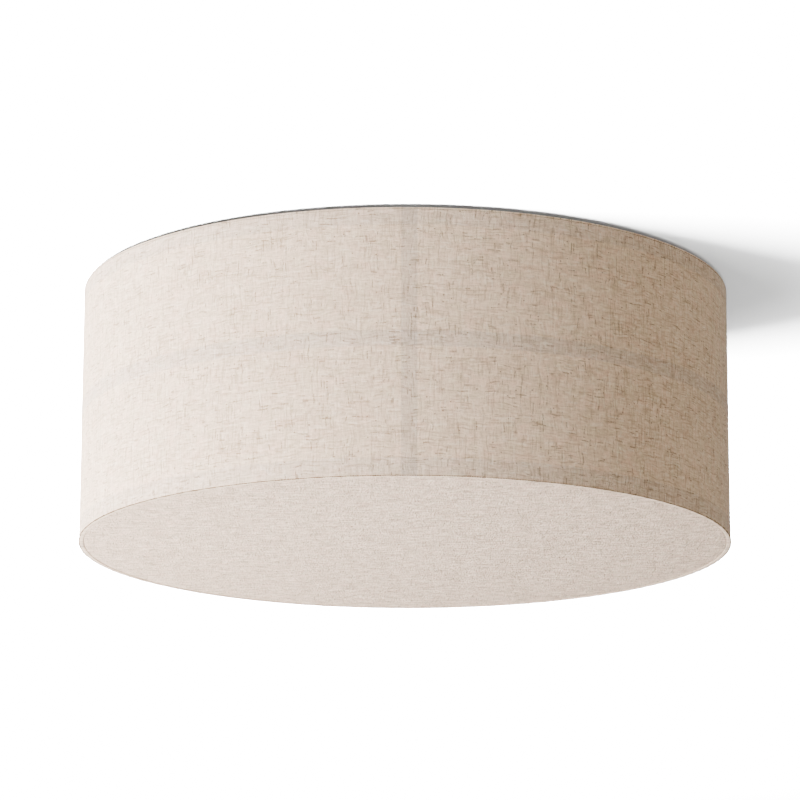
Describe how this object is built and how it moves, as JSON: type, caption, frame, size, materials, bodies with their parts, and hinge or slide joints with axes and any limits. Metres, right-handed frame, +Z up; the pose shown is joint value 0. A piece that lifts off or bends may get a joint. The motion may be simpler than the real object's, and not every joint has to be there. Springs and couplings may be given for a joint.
{
  "type": "flush mount ceiling light",
  "caption": "Flush mount ceiling light: a linen drum shade with a flat cloth diffuser, on a pressed pan with screw-cap lamp holders.",
  "frame": {"origin": "centre of the plane where the ceiling pan and crossbar meet the ceiling", "axes": "+Z up into the ceiling, the light hangs below zero; -Y is the front, +X to the right seen from the front"},
  "size_m": [0.5, 0.4998, 0.2],
  "materials": {
    "linen": "matt natural slub linen",
    "diffuser_linen": "matt natural slub linen, stretched flat",
    "liner_film": "translucent film",
    "frame_steel": "white powder coat",
    "zinc_steel": "zinc plated",
    "spring_steel": "bright wire",
    "rivet_aluminium": "satin",
    "opal_acrylic": "opal, satin",
    "white_enamel": "satin white enamel",
    "nickel": "bright nickel",
    "brass": "bright",
    "earth_green": "green passivated",
    "earth_insulation": "green and yellow, satin",
    "hub_ceramic": "glazed",
    "black_rubber": "matt",
    "brown_insulation": "satin",
    "blue_insulation": "satin",
    "holder_plastic": "white, semi gloss",
    "cap_insulator": "black",
    "bulb_plastic": "white, satin",
    "bulb_opal": "opal, satin"
  },
  "bodies": {
    "fixture": {"bracket_screws": "zinc_steel", "cable_grommet": "black_rubber", "cap_nuts": "nickel", "ceiling_pan": "white_enamel", "contact_springs": "spring_steel", "crossbar_studs": "zinc_steel", "earth_lead": "earth_insulation", "earth_screws": "earth_green", "earth_terminals": "brass", "holder_brackets": "white_enamel", "holder_nipples": "brass", "hub_screws": "zinc_steel", "lamp_holder_1": "holder_plastic", "lamp_holder_2": "holder_plastic", "lamp_holder_3": "holder_plastic", "leads_live": "brown_insulation", "leads_neutral": "blue_insulation", "magnet_cups": "nickel", "magnet_nuts": "zinc_steel", "magnet_screws": "zinc_steel", "mounting_crossbar": "zinc_steel", "nipple_nuts": "brass", "screw_shell_1": "brass", "screw_shell_2": "brass", "screw_shell_3": "brass", "stud_jam_nuts": "zinc_steel", "terminal_hub": "hub_ceramic", "terminal_screws": "brass"},
    "shade": {"drum_fabric": "linen", "drum_liner": "liner_film", "top_ring": "frame_steel", "middle_ring": "frame_steel", "bottom_ring": "frame_steel", "rib_front": "frame_steel", "rib_back": "frame_steel", "rib_left": "frame_steel", "rib_right": "frame_steel", "hanger_tabs": "zinc_steel", "frame_rivets": "rivet_aluminium", "diffuser_panel": "opal_acrylic", "diffuser_fabric": "diffuser_linen", "diffuser_brackets": "frame_steel", "diffuser_studs": "zinc_steel", "diffuser_nuts": "zinc_steel"},
    "contact_1": {"contact_plunger_1": "brass"},
    "bulb_1": {"bulb_cap_1": "nickel", "bulb_contact_1": "cap_insulator", "bulb_housing_1": "bulb_plastic", "bulb_globe_1": "bulb_opal"},
    "contact_2": {"contact_plunger_2": "brass"},
    "bulb_2": {"bulb_cap_2": "nickel", "bulb_contact_2": "cap_insulator", "bulb_housing_2": "bulb_plastic", "bulb_globe_2": "bulb_opal"},
    "contact_3": {"contact_plunger_3": "brass"},
    "bulb_3": {"bulb_cap_3": "nickel", "bulb_contact_3": "cap_insulator", "bulb_housing_3": "bulb_plastic", "bulb_globe_3": "bulb_opal"}
  },
  "joints": [
    {"name": "shade_drop", "type": "slide", "parent": "fixture", "child": "shade", "axis": [0, 0, -1], "range_m": [0, 0.14]},
    {"name": "contact_1_travel", "type": "slide", "parent": "fixture", "child": "contact_1", "axis": [0, 1, 0], "range_m": [0, 0.00364]},
    {"name": "bulb_1_unscrew", "type": "hinge", "parent": "contact_1", "child": "bulb_1", "pos_m": [0, 0.1, -0.064], "axis": [0, 1, 0], "range_deg": [0, 360]},
    {"name": "contact_2_travel", "type": "slide", "parent": "fixture", "child": "contact_2", "axis": [-0.866, -0.5, 0], "range_m": [0, 0.00364]},
    {"name": "bulb_2_unscrew", "type": "hinge", "parent": "contact_2", "child": "bulb_2", "pos_m": [-0.0866, -0.05, -0.064], "axis": [-0.866, -0.5, 0], "range_deg": [0, 360]},
    {"name": "contact_3_travel", "type": "slide", "parent": "fixture", "child": "contact_3", "axis": [0.866, -0.5, 0], "range_m": [0, 0.00364]},
    {"name": "bulb_3_unscrew", "type": "hinge", "parent": "contact_3", "child": "bulb_3", "pos_m": [0.0866, -0.05, -0.064], "axis": [0.866, -0.5, 0], "range_deg": [0, 360]}
  ],
  "couplings": [
    {"joint": "contact_1_travel", "follows": "bulb_1_unscrew", "m_per_rad": 0.00057757},
    {"joint": "contact_2_travel", "follows": "bulb_2_unscrew", "m_per_rad": 0.00057757},
    {"joint": "contact_3_travel", "follows": "bulb_3_unscrew", "m_per_rad": 0.00057757}
  ]
}
